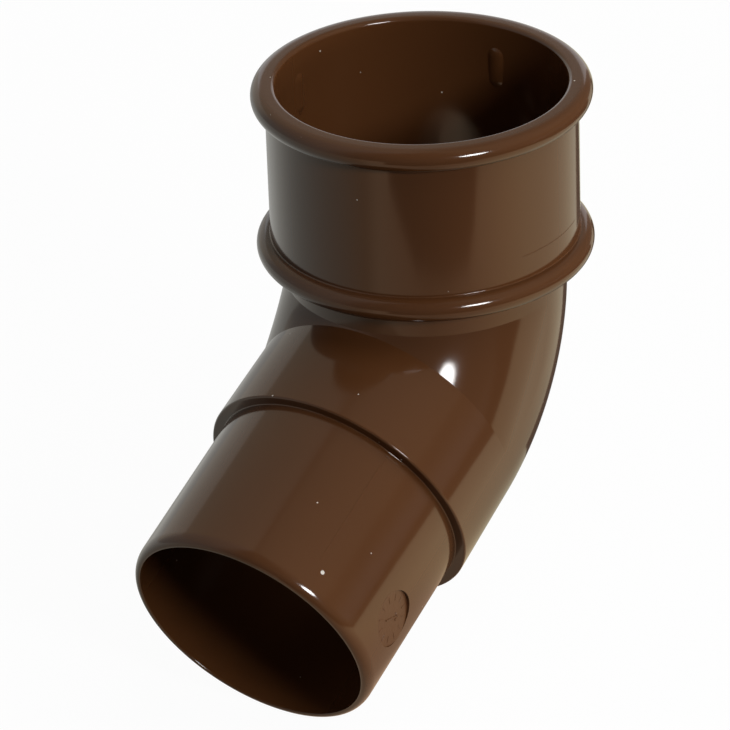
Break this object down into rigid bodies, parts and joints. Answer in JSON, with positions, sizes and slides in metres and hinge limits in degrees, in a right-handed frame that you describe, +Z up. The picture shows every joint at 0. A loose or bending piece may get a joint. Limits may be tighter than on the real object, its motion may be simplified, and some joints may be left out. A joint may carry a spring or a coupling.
{
  "type": "downpipe offset bend",
  "caption": "Round downpipe offset bend: beaded socket on top, collar, smooth elbow with a mitred throat, and a stepped spigot leaving sideways and down to the next length.",
  "frame": {"origin": "on the socket's axis at the stop face in the socket, where the pipe from above ends", "axes": "+Z up the socket's axis and out of its mouth, -X towards the side that the spigot leaves to, the bend lies in the XZ plane"},
  "size_m": [0.1361, 0.0814, 0.1379],
  "materials": {
    "brown_plastic": "glossy injection-moulded brown PVC-U"
  },
  "bodies": {
    "root": {"offset_bend": "brown_plastic"}
  },
  "joints": []
}
